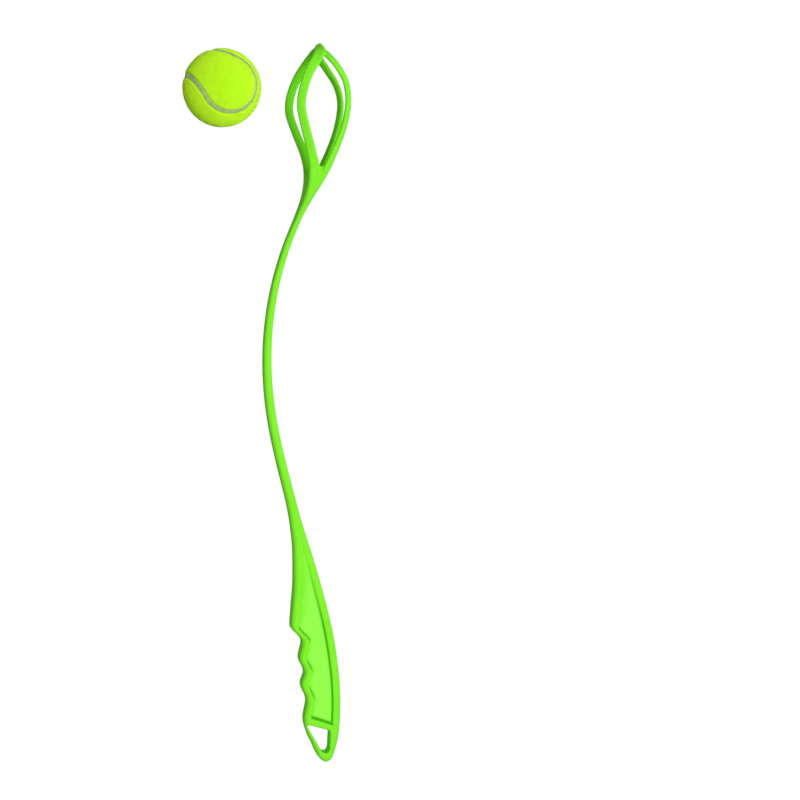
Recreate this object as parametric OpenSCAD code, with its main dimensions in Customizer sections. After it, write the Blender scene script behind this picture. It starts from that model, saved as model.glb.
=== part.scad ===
// Dog ball launcher: a moulded throwing stick with an open ball cup, and its felt-covered ball.
// Millimetres. +Z runs up the stick, the ball leaves towards -X, and the stick is symmetric about Y = 0.
// The origin is the middle of the grip. The ball is drawn just after it has left the cup.

/* [Stick] */
// Height of the seated ball's centre above the middle of the grip
reach = 488.3; // [450:5:530]
// How far the shaft bows out from the straight line between handle and cup
bow = 22; // [18:1:26]
// Width of the shaft half way up, in the throwing direction
shaft_width = 7; // [6:0.2:8]
// Depth of the shaft, front to back
shaft_depth = 13; // [11:0.5:15]

/* [Handle] */
// Thickness of the handle, front to back
handle_depth = 18; // [17:0.5:22]
// Largest rounding of the moulding's long edges
edge_radius = 4; // [2.5:0.25:5]
// Height of the lip above the first finger groove
lip_height = 40.6; // [38:0.5:44]
// Spacing of the three finger grooves
finger_pitch = 24.4; // [23:0.2:25]
// Depth of the finger grooves below the ridges between them
finger_depth = 3.6; // [2:0.2:4.4]
// Depth of the long panel that is sunk into each face of the handle
panel_depth = 1.6; // [0.8:0.1:2.2]
// Rim left between the panel and the back of the handle
panel_rim = 6.4; // [5:0.2:8]
// Rim left between the panel and the finger grooves
finger_rim = 5.7; // [5:0.1:8]

/* [Hang hole] */
// Width of the hang hole along its upper edge
hole_width = 16; // [13:0.5:16.5]
// Height of the hang hole
hole_height = 23.5; // [20:0.5:24]
// Rounding of the two upper corners of the hang hole
hole_corner = 2.4; // [1.5:0.1:3]

/* [Cup] */
// Room between the seated ball and the inside of the cup at its tip
cup_clearance = 0.8; // [0.5:0.1:1.5]
// Thickness of the cup's arms, measured outwards from the ball
arm_thickness = 4.2; // [3.6:0.1:4.8]
// Factor on the width of the cup's arms
arm_width_factor = 1; // [0.85:0.05:1.1]
// Depth of the hollow between the arms at the top of the neck
saddle_depth = 9; // [6:0.5:11]

/* [Ball] */
// Diameter of the ball over its felt
ball_diameter = 65; // [62:0.5:66]
// Thickness of the felt cover
felt_thickness = 3; // [2:0.1:4]
// Wall of the rubber core
core_wall = 3.5; // [3:0.1:5]
// Film of cement between the core and the felt
cement_film = 0.1; // [0.05:0.05:0.3]
// Width of the cement line between the two felt panels
seam_width = 4.4; // [2:0.2:5]
// How far the cement line lies below the felt
seam_sink = 0.4; // [0.3:0.1:1]
// Lean of the seam's round lobes, which sets how narrow the waist of each panel is
lobe_lean = 16; // [15:0.5:28]
// Distance that the ball has travelled from its seat
ball_travel = 71.6; // [71.6:0.5:90]

/* [Hidden] */
$fn = 96;
big = 400;
ball_r = ball_diameter / 2;
felt_inner_r = ball_r - felt_thickness;
core_r = felt_inner_r - cement_film;
// The cup's curves are drawn for a 65 mm ball and grow with it
cup_scale = ball_diameter / 65;
seat_x = -10.1;
seat = [seat_x, 0, reach];
neck_foot = -111.9;
handle_foot = -75;
handle_top = 140;
foot_radius = 5;
corner_steps = 5;
// Shaft: ends of its middle line, and the ordinates that pull it out into its bow
shaft_ends = [-23.67, seat_x - 10.5];
shaft_poles = [
    for (i = [0 : 5])
        let (pull = [0, 0.54, 1.345, 1.2, 0.96, 0][i])
        shaft_ends[0] + (shaft_ends[1] - shaft_ends[0]) * i / 5 - bow * pull
];
// Left hoop, from the tip down to the neck: x, y, z from the ball's centre, width, twist
left_hoop = [
    [8.65, 0, 33.8, 8.3, -49],
    [7.7, 17, 30, 8.6, -9],
    [2.7, 30.2, 21.6, 8.7, 6],
    [-3.9, 36.2, 11, 7.5, 0],
    [-9.1, 37.3, -3.5, 7.3, 0],
    [-10.35, 34.1, -17.5, 7.3, 0],
    [-5.75, 27.4, -34.5, 7.5, 0],
    [-0.4, 20.2, -50.5, 7.7, 0],
    [3.1, 16.4, -64.5, 8.2, 0],
];
// Height at which the arms stand on the neck
neck_top = left_hoop[len(left_hoop) - 1][2];
// Right hoop, in the same order
right_hoop = [
    [10.56, 0, 33.9, 8.4, 44],
    [12.5, 17, 28.3, 7.1, 4],
    [20.0, 23.2, 18.9, 6.7, 8],
    [27.9, 22.7, 6, 6.0, 0],
    [30.9, 19.9, -7.5, 6.1, 0],
    [30.1, 19.3, -20.5, 6.5, 0],
    [26.1, 18.2, -36.5, 6.4, 0],
    [19.9, 17.1, -52.5, 6.9, 0],
    [14.3, 16.4, neck_top, 7.4, 0],
];
// Steps of the sweep in each run between two rows; the tip takes the first run and part of the second
tip_steps = 7;
arm_steps = 5;
tip_share = 2;
// Heights of the lip, grooves and ridges of the finger side, as parts of the pitch below the lip
finger_steps = [0, 0.56, 1.12, 1.61, 2.02, 2.59, 3.22];
finger_z = [for (s = finger_steps) lip_height - s * finger_pitch];
// Finger side of the handle, from the foot up
finger_edge = [
    [handle_foot, 0.2], [-68.7, -3.5], [-58.3, -8.3], [-51.4, -11.5],
    [finger_z[6], ridge_x(finger_z[6])],
    [finger_z[5], ridge_x(finger_z[5]) + finger_depth],
    [finger_z[4], ridge_x(finger_z[4])],
    [finger_z[3], ridge_x(finger_z[3]) + finger_depth],
    [finger_z[2], ridge_x(finger_z[2])],
    [finger_z[1], ridge_x(finger_z[1]) + finger_depth],
    [finger_z[0], -25.7],
    [56, -24.7], [80, -23.1], [104, -23.3], [122, -25.1], [handle_top, shaft_mid(0) - shaft_half(0)],
];
// Back of the handle, from the foot up
back_edge = [
    [handle_foot, 7.4], [-70.8, 9.5], [-64, 11.9], [-57.4, 13.7], [-43.8, 15.5], [-25, 16.2],
    [-8, 15.6], [10.5, 13.7], [27.5, 11.2], [44.5, 7.7], [64.8, 2.6], [85, -2.9], [105.5, -9],
    [122, -14.3], [handle_top, shaft_mid(0) + shaft_half(0)],
];
// Neck between shaft and cup: height from the ball's centre, then middle, width and half depth
neck_mid = [[neck_foot, -10.5], [-105, -7.6], [-98.5, -4.6], [-92, -1.5], [-85, 1.6], [-78.5, 4.4],
    [-72, 6.6], [neck_top, 8.5]];
neck_width = [[neck_foot, 2 * shaft_half(1)], [-105, 5.3], [-98.5, 5.7], [-92, 7], [-85, 9.2],
    [-78.5, 12], [-72, 15.2], [neck_top, 19.2]];
neck_half = [[neck_foot, shaft_half_depth(1)], [-105, 9.3], [-98.5, 11.2], [-92, 13.2], [-85, 15],
    [-78.5, 16.4], [-72, 17.5], [neck_top, 18.6]];
panel_top = 97;
panel_foot = [-37, -43.5];

// Line through the finger ridges
function ridge_x(z) = -17.75 - 0.078 * z;

// Slopes and values of a smooth curve through [place, value] rows that never overshoots a row
function step_slope(t, i) = (t[i + 1][1] - t[i][1]) / (t[i + 1][0] - t[i][0]);
function row_slope(t, i) =
    i == 0 ? step_slope(t, 0)
    : i == len(t) - 1 ? step_slope(t, i - 1)
    : let (a = step_slope(t, i - 1), b = step_slope(t, i)) a * b <= 0 ? 0 : 2 * a * b / (a + b);
function row_at(t, z, i = 0) = i >= len(t) - 2 || z <= t[i + 1][0] ? i : row_at(t, z, i + 1);
function curve(t, z) =
    let (
        i = row_at(t, z),
        h = t[i + 1][0] - t[i][0],
        u = (z - t[i][0]) / h,
        rise = t[i + 1][1] - t[i][1],
        a = row_slope(t, i) * h - rise,
        b = rise - row_slope(t, i + 1) * h
    )
    (1 - u) * t[i][1] + u * t[i + 1][1] + u * (1 - u) * ((1 - u) * a + u * b);

// Shaft: one Bezier curve of the fifth order between the handle and the neck, u = 0 to 1
function bezier(p, u) =
    len(p) == 1 ? p[0] : bezier([for (i = [0 : len(p) - 2]) (1 - u) * p[i] + u * p[i + 1]], u);
function shaft_mid(u) = bezier(shaft_poles, u);
function shaft_half(u) = shaft_width * (0.6 - 0.215 * u);
function shaft_half_depth(u) = shaft_depth / 2 + 1.2 * pow(u, 8);

// Closed ring of a rounded bar at height z: middle, half width, half depth
function bar_ring(z, mid, half, depth) =
    let (r = min(edge_radius, 0.92 * half, 0.92 * depth))
    [
        for (q = [0 : 3], k = [0 : corner_steps])
            let (
                a = 90 * (q + k / corner_steps),
                sx = q == 0 || q == 3 ? 1 : -1,
                sy = q < 2 ? 1 : -1
            )
            [mid + sx * (half - r) + r * cos(a), sy * (depth - r) + r * sin(a), z]
    ];

// Closed skin through rings that all have the same number of points
module skin(rings) {
    n = len(rings[0]);
    m = len(rings);
    polyhedron(
        points = [for (r = rings, p = r) p],
        faces = concat(
            [[for (k = [n - 1 : -1 : 0]) k]],
            [for (i = [0 : m - 2], k = [0 : n - 1])
                [i * n + k, i * n + (k + 1) % n, (i + 1) * n + (k + 1) % n, (i + 1) * n + k]],
            [[for (k = [0 : n - 1]) (m - 1) * n + k]]
        )
    );
}

// Handle: ring at height z, with the foot rounded off both ways
function handle_half_depth(z) =
    let (t = min(1, (handle_top - z) / 90))
    shaft_depth / 2 + (handle_depth - shaft_depth) / 2 * t * t * (3 - 2 * t);
function handle_ring(z) =
    let (
        low = curve(finger_edge, z),
        high = curve(back_edge, z),
        c = max(0, handle_foot + foot_radius - z) / foot_radius,
        f = sqrt(1 - c * c)
    )
    bar_ring(z, (low + high) / 2, f * (high - low) / 2, handle_half_depth(z) - edge_radius * (1 - f));

module handle_blank() {
    grip_foot = handle_foot + foot_radius;
    foot_z = [for (a = [12, 24, 38, 52, 66, 80]) grip_foot - foot_radius * cos(a)];
    grip_z = [for (i = [0 : 86]) grip_foot + i * (handle_top - grip_foot) / 86];
    skin([for (z = concat(foot_z, grip_z)) handle_ring(z)]);
}

// Upright outline turned so that it is pushed through the handle from front to back
module through(y0, y1) {
    translate([0, y1, 0])
        rotate([90, 0, 0])
            linear_extrude(y1 - y0) children();
}

// Rounded corner of an outline: corner point, its neighbours, radius
function corner(p, a, b, r) =
    let (
        ua = (a - p) / norm(a - p),
        ub = (b - p) / norm(b - p),
        half = acos(ua * ub) / 2,
        mid = p + (ua + ub) / norm(ua + ub) * r / sin(half),
        start = p + ua * r / tan(half) - mid,
        turn = 180 - 2 * half,
        way = ua[0] * ub[1] - ua[1] * ub[0] > 0 ? -1 : 1
    )
    [
        for (k = [0 : 6])
            let (t = way * turn * k / 6)
            mid + [start[0] * cos(t) - start[1] * sin(t), start[0] * sin(t) + start[1] * cos(t)]
    ];

module hole_outline() {
    left = [-12.7, -43.2];
    right = left + [hole_width + 4, -4.5];
    low = left + [hole_width + 2.7, -hole_height - 9.3];
    polygon(concat(
        corner(left, low, right, hole_corner),
        corner(right, left, low, hole_corner),
        corner(low, right, left, hole_corner + 1.1)
    ));
}

module panel_outline() {
    low_z = [for (i = [0 : 34]) panel_foot[0] + i * (panel_top - panel_foot[0]) / 34];
    high_z = [for (i = [0 : 24]) panel_top + i * (panel_foot[1] - panel_top) / 24];
    polygon(concat(
        [for (z = low_z)
            [min(curve(finger_edge, z) + finger_rim, curve(back_edge, z) - panel_rim - 1.5), z]],
        [for (z = high_z) [curve(back_edge, z) - panel_rim, z]]
    ));
}

module handle() {
    floor_y = handle_depth / 2 - panel_depth;
    color([0.47, 0.95, 0.14])
        difference() {
            handle_blank();
            through(-handle_depth, handle_depth) hole_outline();
            through(-handle_depth, -floor_y) panel_outline();
            through(floor_y, handle_depth) panel_outline();
        }
}

module shaft() {
    top_z = reach + neck_foot;
    color([0.45, 0.93, 0.13])
        skin([
            for (i = [0 : 44])
                let (u = i / 44, z = handle_top + u * (top_z - handle_top))
                bar_ring(z, shaft_mid(u), shaft_half(u), shaft_half_depth(u))
        ]);
}

// Hoops: a smooth curve through the rows above, swept with a flat rounded section
function blend(a, b, c, d, t) =
    (2 * b + (c - a) * t + (2 * a - 5 * b + 4 * c - d) * t * t + (3 * b - a - 3 * c + d) * t * t * t) / 2;
function blend_way(a, b, c, d, t) =
    ((c - a) + 2 * (2 * a - 5 * b + 4 * c - d) * t + 3 * (3 * b - a - 3 * c + d) * t * t) / 2;
function flip(p) = [p[0], -p[1], p[2], p[3], p[4]];
function first3(p) = [p[0], p[1], p[2]];
function unit(v) = v / norm(v);
function power(v, e) = sign(v) * pow(abs(v), e);
// Rings stand upright across Y over the tip and turn until they lie level from the third row down
function ring_plane(i, t) =
    let (s = min(1, max(0, i + t - 1) / 2))
    [0, 1 - s, -s];
function hoop_ring(rows, i, t) =
    let (
        a = i == 0 ? flip(rows[1]) : rows[i - 1],
        b = rows[i],
        c = rows[i + 1],
        d = i == len(rows) - 2 ? 2 * c - b : rows[i + 2],
        p = blend(a, b, c, d, t),
        way = unit(first3(blend_way(a, b, c, d, t))),
        out = [p[0], p[1], max(p[2], -25)],
        up = unit(out - (out * way) * way),
        side = cross(way, up),
        face = up * cos(p[4]) + side * sin(p[4]),
        wide = side * cos(p[4]) - up * sin(p[4]),
        plane = ring_plane(i, t)
    )
    [
        for (k = [0 : 15])
            let (
                x = power(cos(22.5 * k), 0.6) * p[3] / 2 * arm_width_factor * cup_scale,
                y = power(sin(22.5 * k), 0.6) * arm_thickness / 2,
                q = wide * x + face * y
            )
            first3(p) * cup_scale + q - way * (q * plane) / (way * plane)
    ];

// Part of a hoop that bridges the tip, from one side of Y = 0 to the other
module tip_bar(rows) {
    back = concat(
        [for (k = [0 : tip_steps]) hoop_ring(rows, 0, k / tip_steps)],
        [for (k = [1 : tip_share]) hoop_ring(rows, 1, k / arm_steps)]
    );
    skin(concat(
        [for (k = [len(back) - 1 : -1 : 1]) [for (p = back[k]) [p[0], -p[1], p[2]]]],
        back
    ));
}

// Rest of a hoop, behind Y = 0
module arm(rows) {
    last = len(rows) - 2;
    skin(concat(
        [for (k = [tip_share : arm_steps - 1]) hoop_ring(rows, 1, k / arm_steps)],
        [for (i = [2 : last], k = [0 : arm_steps - 1]) hoop_ring(rows, i, k / arm_steps)],
        [hoop_ring(rows, last, 1)]
    ));
}

module front_left_arm() {
    color([0.47, 0.95, 0.14])
        translate(seat) mirror([0, 1, 0]) arm(left_hoop);
}

module back_left_arm() {
    color([0.40, 0.84, 0.08])
        translate(seat) arm(left_hoop);
}

module front_right_arm() {
    color([0.47, 0.95, 0.14])
        translate(seat) mirror([0, 1, 0]) arm(right_hoop);
}

module back_right_arm() {
    color([0.40, 0.84, 0.08])
        translate(seat) arm(right_hoop);
}

module cup_tip() {
    color([0.45, 0.93, 0.13])
        translate(seat)
            difference() {
                union() {
                    tip_bar(left_hoop);
                    tip_bar(right_hoop);
                }
                sphere(r = ball_r + cup_clearance);
            }
}

module cup_neck() {
    top = neck_top * cup_scale;
    saddle_half = 14 * cup_scale;
    saddle_r = (saddle_half * saddle_half + saddle_depth * saddle_depth) / (2 * saddle_depth);
    color([0.45, 0.93, 0.13])
        translate(seat)
            difference() {
                skin([
                    for (i = [0 : 20])
                        let (
                            share = i / 20,
                            z = neck_foot + share * (neck_top - neck_foot),
                            grow = 1 + share * (cup_scale - 1)
                        )
                        bar_ring(neck_foot + share * (top - neck_foot), curve(neck_mid, z) * grow,
                            curve(neck_width, z) / 2 * grow, curve(neck_half, z) * grow)
                ]);
                translate([-big / 2, 0, top - saddle_depth + saddle_r])
                    rotate([0, 90, 0]) cylinder(r = saddle_r, h = big);
            }
}

// Ball, in its own frame: the seam runs on four cones about leaning axes
lobe_angle = acos(cos(lobe_lean) * cos(45));
seam_half_angle = seam_width / 2 / ball_r * 180 / PI;

module ball_place() {
    translate(seat - [ball_travel, 0, 0])
        rotate([-21.4, -45.3, 13.9])
            children();
}

module shell(outer, inner) {
    difference() {
        sphere(r = outer);
        sphere(r = inner);
    }
}

module half_space(side) {
    translate([-big / 2, -big / 2, side > 0 ? 0 : -big]) cube(big);
}

module cone(angle) {
    cylinder(h = 45, r1 = 0, r2 = 45 * tan(angle));
}

// The two cones of the upper half (side = 1) or of the lower half (side = -1)
module lobe_cones(side, angle) {
    for (s = [-1, 1])
        rotate(side > 0 ? [0, s * (90 - lobe_lean), 0] : [s * (90 + lobe_lean), 0, 0])
            cone(angle);
}

module felt_half(side, inside) {
    if (inside)
        intersection() {
            shell(ball_r, felt_inner_r);
            half_space(side);
            lobe_cones(side, lobe_angle - seam_half_angle);
        }
    else
        difference() {
            intersection() {
                shell(ball_r, felt_inner_r);
                half_space(side);
            }
            lobe_cones(side, lobe_angle + seam_half_angle);
        }
}

module felt_panel_a() {
    color([0.75, 1, 0.17])
        ball_place()
            union() {
                felt_half(1, false);
                felt_half(-1, true);
            }
}

module felt_panel_b() {
    color([0.72, 0.98, 0.14])
        ball_place()
            union() {
                felt_half(1, true);
                felt_half(-1, false);
            }
}

module seam_half(side) {
    difference() {
        intersection() {
            shell(ball_r - seam_sink, felt_inner_r);
            half_space(side);
            lobe_cones(side, lobe_angle + seam_half_angle);
        }
        lobe_cones(side, lobe_angle - seam_half_angle);
    }
}

module ball_seam() {
    color([0.72, 0.84, 0.6])
        ball_place()
            union() {
                seam_half(1);
                seam_half(-1);
            }
}

module core_half(side) {
    intersection() {
        shell(core_r, core_r - core_wall);
        half_space(side);
    }
}

module ball_core_half_a() {
    color([0.16, 0.16, 0.16]) ball_place() core_half(1);
}

module ball_core_half_b() {
    color([0.19, 0.19, 0.19]) ball_place() core_half(-1);
}

handle();
shaft();
cup_neck();
front_left_arm();
back_left_arm();
front_right_arm();
back_right_arm();
cup_tip();
ball_core_half_a();
ball_core_half_b();
felt_panel_a();
felt_panel_b();
ball_seam();
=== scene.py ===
import math

import bpy
import numpy as np
from mathutils import Euler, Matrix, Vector


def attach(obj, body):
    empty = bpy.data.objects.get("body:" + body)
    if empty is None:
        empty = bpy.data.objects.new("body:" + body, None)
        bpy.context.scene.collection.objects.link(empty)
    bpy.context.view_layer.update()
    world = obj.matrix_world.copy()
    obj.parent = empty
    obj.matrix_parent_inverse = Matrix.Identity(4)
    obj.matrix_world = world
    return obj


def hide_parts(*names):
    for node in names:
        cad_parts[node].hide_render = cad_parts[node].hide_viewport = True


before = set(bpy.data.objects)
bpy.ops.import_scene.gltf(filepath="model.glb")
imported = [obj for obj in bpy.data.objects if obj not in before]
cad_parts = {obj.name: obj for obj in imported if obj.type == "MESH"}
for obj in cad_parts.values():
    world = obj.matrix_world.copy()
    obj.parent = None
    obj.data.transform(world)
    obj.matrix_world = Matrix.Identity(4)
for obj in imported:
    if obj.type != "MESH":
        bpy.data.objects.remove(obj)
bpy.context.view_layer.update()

# Sizes of the stick and its ball in millimetres, as in the solid model
MM = 0.001
REACH = 488.3
SEAT = np.array([-10.1, 0.0, REACH])
BOW = 22.0
SHAFT_WIDTH = 7.0
SHAFT_DEPTH = 13.0
HANDLE_DEPTH = 18.0
EDGE_RADIUS = 4.0
HANDLE_FOOT = -75.0
HANDLE_TOP = 140.0
FOOT_RADIUS = 5.0
LIP_HEIGHT = 40.6
FINGER_PITCH = 24.4
FINGER_DEPTH = 3.6
FINGER_RIM = 5.7
PANEL_RIM = 6.4
ARM_THICKNESS = 4.2
NECK_FOOT = -111.9
NECK_TOP = -64.5
SADDLE_DEPTH = 9.0
SADDLE_HALF = 14.0
BALL_R = 32.5
CUP_CLEARANCE = 0.8
FELT_THICKNESS = 3.0
SEAM_WIDTH = 4.4
SEAM_SINK = 0.4
LOBE_LEAN = math.radians(16.0)
BALL_TRAVEL = 71.6
BALL_TURN = (-21.4, -45.3, 13.9)

# Shaft: x at its two ends, the pull of each pole of its curve towards the bow, half widths at foot and top,
# and how much deeper it gets just below the neck
SHAFT_ENDS = (-23.67, SEAT[0] - 10.5)
BOW_PULLS = (0, 0.54, 1.345, 1.2, 0.96, 0)
SHAFT_HALVES = (0.6 * SHAFT_WIDTH, 0.385 * SHAFT_WIDTH)
SHAFT_FLARE = 1.2
FLARE_POWER = 8

# Handle as height and x: the finger side below and above the grooves, and the back
FINGER_FOOT_ROWS = ((HANDLE_FOOT, 0.2), (-68.7, -3.5), (-58.3, -8.3), (-51.4, -11.5))
FINGER_TOP_ROWS = ((LIP_HEIGHT, -25.7), (56, -24.7), (80, -23.1), (104, -23.3), (122, -25.1))
BACK_ROWS = (
    (HANDLE_FOOT, 7.4), (-70.8, 9.5), (-64, 11.9), (-57.4, 13.7), (-43.8, 15.5), (-25, 16.2), (-8, 15.6),
    (10.5, 13.7), (27.5, 11.2), (44.5, 7.7), (64.8, 2.6), (85, -2.9), (105.5, -9), (122, -14.3),
)
# Grooves and ridges in turn, as parts of the pitch below the lip, and the line through the ridges
FINGER_STEPS = (0.56, 1.12, 1.61, 2.02, 2.59, 3.22)
RIDGE_X = -17.75
RIDGE_LEAN = -0.078
# Length below the handle's top over which it swells to its full depth
GRIP_SWELL = 90.0

# Neck: height from the ball's centre, middle, width and half depth; its cap ends inside the arms
NECK_CAP = 6.0
NECK_ROWS = np.array([
    [NECK_FOOT, -10.5, 2 * SHAFT_HALVES[1], SHAFT_DEPTH / 2 + SHAFT_FLARE],
    [-105, -7.6, 5.3, 9.3],
    [-98.5, -4.6, 5.7, 11.2],
    [-92, -1.5, 7, 13.2],
    [-85, 1.6, 9.2, 15],
    [-78.5, 4.4, 12, 16.4],
    [-72, 6.6, 15.2, 17.5],
    [NECK_TOP, 8.5, 19.2, 18.3],
    [NECK_TOP + NECK_CAP, 9.05, 22.7, 17.4],
])

# Hoops of the cup from the tip down: x, y, z from the ball's centre, width, twist
# They stand on the neck at the last row but one, and the last row is the end that is hidden inside the neck
HOOP_END = NECK_TOP - 8.5
LEFT_HOOP = np.array([
    [8.65, 0, 33.8, 8.3, -49],
    [7.7, 17, 30, 8.6, -9],
    [2.7, 30.2, 21.6, 8.7, 6],
    [-3.9, 36.2, 11, 7.5, 0],
    [-9.1, 37.3, -3.5, 7.3, 0],
    [-10.35, 34.1, -17.5, 7.3, 0],
    [-5.75, 27.4, -34.5, 7.5, 0],
    [-0.4, 20.2, -50.5, 7.7, 0],
    [3.1, 16.4, NECK_TOP, 8.2, 0],
    [3.8, 13.5, HOOP_END, 6, 0],
])
RIGHT_HOOP = np.array([
    [10.56, 0, 33.9, 8.4, 44],
    [12.5, 17, 28.3, 7.1, 4],
    [20.0, 23.2, 18.9, 6.7, 8],
    [27.9, 22.7, 6, 6.0, 0],
    [30.9, 19.9, -7.5, 6.1, 0],
    [30.1, 19.3, -20.5, 6.5, 0],
    [26.1, 18.2, -36.5, 6.4, 0],
    [19.9, 17.1, -52.5, 6.9, 0],
    [14.3, 16.4, NECK_TOP, 7.4, 0],
    [9.4, 13.5, HOOP_END, 6, 0],
])
HOOP_STEPS = 20
# The bands face away from the ball's centre, and below this height from it they keep their tilt
TILT_FLOOR = -25.0

# Sunk panel: depth of its floor, ends of its foot as x and height, where it runs out above, and its rounding
PANEL_FLOOR = 0.8
PANEL_FOOT_LEFT = (-7.3, -37.8)
PANEL_FOOT_RIGHT = (9.9, -43.8)
PANEL_TOP = 104.0
PANEL_FADE = 40.0
PANEL_CORNER = 1.2
PANEL_EDGE = 0.5
# Finger side, back and foot of the panel: width and depth of the groove along it, and slope of its wall
GROOVE_WIDTHS = (1.7, 1.1, 1.9)
GROOVE_DEPTHS = (1.2, 1.5, 1.7)
PANEL_DRAFTS = (0.3, 0.6, 0.15)

# Hang hole: x and height of its corners from the upper left one on, and the rounding of upper and lower ones
HOLE_CORNERS = ((-12.9, -42.5), (7.3, -48.3), (6.4, -66.6), (1.3, -67.8))
HOLE_ROUND = (2.4, 3.4)
HOLE_EDGE = 2.0

# Rounding that the moulding has where its regions run together
WINDOW_FILLET = 1.5
WINDOW_FOOT = -64.3
JOIN_FILLET = 0.6
TIP_FILLET = 1.2
TIP_EDGE = 0.7
ARM_EDGE = 2.0
CUP_EDGE = 0.6
# Largest rounding of an edge, as a part of the bar's half width or depth
ROUND_SHARE = 0.92
# Heights from the ball's centre: where the edges narrow to those of the arms, and where fork and cup begin
NECK_SHARPENS = (NECK_TOP - 30, NECK_TOP - 2)
FORK_FROM = NECK_TOP - 25
CUP_FROM = NECK_TOP - 30
# Height below which panel and hang hole are looked for
GRIP_TOP = 130.0

# Tables of the stick's outline by height: their step and the length added at both ends
TABLE_STEP = 0.25
TABLE_MARGIN = 12
# How far the kinks of the finger side, the back and the joins above the grip are smoothed out
FINGER_SOFT = 1.0
BACK_SOFT = 5.0
FLOW_SOFT = 6.0
FLOW_HEIGHTS = (90, 110)

# Lattices that the skins are made on: cells, and the boxes round the launcher and the ball
FINE_CELL = 0.68
SHAFT_CELL = 1.8
BALL_CELL = 0.85
LAUNCHER_X = (-60, 30)
LAUNCHER_Y = (-42, 42)
LAUNCHER_FOOT = -80
SHAFT_FROM = 118
SHAFT_TO = REACH + NECK_FOOT - 6
LAUNCHER_TOP = 530
BALL_SPAN = (-34.4, 34.4)


# Smooth curves

def ramp(value, start, end):
    """Rises from 0 at start to 1 at end, and stays level outside them."""
    return np.clip((value - start) / (end - start), 0, 1)


def through_rows(rows, z):
    """Smooth curve through (place, value) rows that never overshoots a row."""
    t = np.array(rows, float)
    place, value = t[:, 0], t[:, 1]
    steps = np.diff(value) / np.diff(place)
    slope = np.concatenate([steps[:1], np.zeros(len(value) - 2), steps[-1:]])
    before, after = steps[:-1], steps[1:]
    same_way = before * after > 0
    total = np.where(same_way, before + after, 1.0)
    slope[1:-1] = np.where(same_way, 2 * before * after / total, 0.0)
    i = np.clip(np.searchsorted(place, z) - 1, 0, len(place) - 2)
    h = place[i + 1] - place[i]
    u = (z - place[i]) / h
    rise = value[i + 1] - value[i]
    lead = slope[i] * h - rise
    trail = rise - slope[i + 1] * h
    return (1 - u) * value[i] + u * value[i + 1] + u * (1 - u) * ((1 - u) * lead + u * trail)


def softened(values, spread):
    """Running mean with a bell-shaped weight, which takes the kinks out of an evenly spaced row of values."""
    reach = int(3 * spread) + 1
    weight = np.exp(-0.5 * (np.arange(-reach, reach + 1) / spread) ** 2)
    padded = np.pad(values, reach, mode="reflect", reflect_type="odd")
    return np.convolve(padded, weight / weight.sum(), mode="valid")


def bezier(poles, u):
    """Bezier curve of any order, by blending neighbouring poles until one is left."""
    row = [np.full_like(u, p) for p in poles]
    while len(row) > 1:
        row = [(1 - u) * a + u * b for a, b in zip(row, row[1:])]
    return row[0]


# Outline of the stick by height

def ridge_x(z):
    return RIDGE_X + RIDGE_LEAN * z


def stick_tables():
    """Heights, and for each the x of the finger side, the x of the back, and the half depth."""
    z = np.arange(HANDLE_FOOT - TABLE_MARGIN, REACH + NECK_TOP + TABLE_MARGIN, TABLE_STEP)
    start, end = SHAFT_ENDS
    runs = len(BOW_PULLS) - 1
    poles = [start + (end - start) * i / runs - BOW * pull for i, pull in enumerate(BOW_PULLS)]
    foot_half, top_half = SHAFT_HALVES

    finger_z = [LIP_HEIGHT - s * FINGER_PITCH for s in FINGER_STEPS]
    grooves = [(h, ridge_x(h) + FINGER_DEPTH * (i % 2)) for i, h in enumerate(finger_z, 1)][::-1]
    finger_rows = [*FINGER_FOOT_ROWS, *grooves, *FINGER_TOP_ROWS, (HANDLE_TOP, poles[0] - foot_half)]
    back_rows = [*BACK_ROWS, (HANDLE_TOP, poles[0] + foot_half)]
    finger = softened(through_rows(finger_rows, z), FINGER_SOFT / TABLE_STEP)
    back = softened(through_rows(back_rows, z), BACK_SOFT / TABLE_STEP)
    swell = ramp(z, HANDLE_TOP, HANDLE_TOP - GRIP_SWELL)
    grip_depth = SHAFT_DEPTH / 2 + (HANDLE_DEPTH - SHAFT_DEPTH) / 2 * swell * swell * (3 - 2 * swell)

    shaft_top = REACH + NECK_FOOT
    u = ramp(z, HANDLE_TOP, shaft_top)
    shaft_mid = bezier(poles, u)
    shaft_half = foot_half + (top_half - foot_half) * u
    shaft_depth = SHAFT_DEPTH / 2 + SHAFT_FLARE * u ** FLARE_POWER

    neck_mid, neck_width, neck_depth = (through_rows(NECK_ROWS[:, [0, n]], z - REACH) for n in (1, 2, 3))
    neck_mid, neck_half = SEAT[0] + neck_mid, neck_width / 2

    in_handle, in_neck = z <= HANDLE_TOP, z > shaft_top
    low = np.where(in_handle, finger, np.where(in_neck, neck_mid - neck_half, shaft_mid - shaft_half))
    high = np.where(in_handle, back, np.where(in_neck, neck_mid + neck_half, shaft_mid + shaft_half))
    depth = np.where(in_handle, grip_depth, np.where(in_neck, neck_depth, shaft_depth))
    # The regions flow into one another above the grip
    flow = ramp(z, *FLOW_HEIGHTS)
    return z, *(t + flow * (softened(t, FLOW_SOFT / TABLE_STEP) - t) for t in (low, high, depth))


STICK_Z, STICK_LOW, STICK_HIGH, STICK_DEPTH = stick_tables()
LOW_SLOPE = np.gradient(STICK_LOW, STICK_Z)
LOW_LEAN = 1 / np.hypot(1, LOW_SLOPE)
HIGH_LEAN = 1 / np.hypot(1, np.gradient(STICK_HIGH, STICK_Z))


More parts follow.
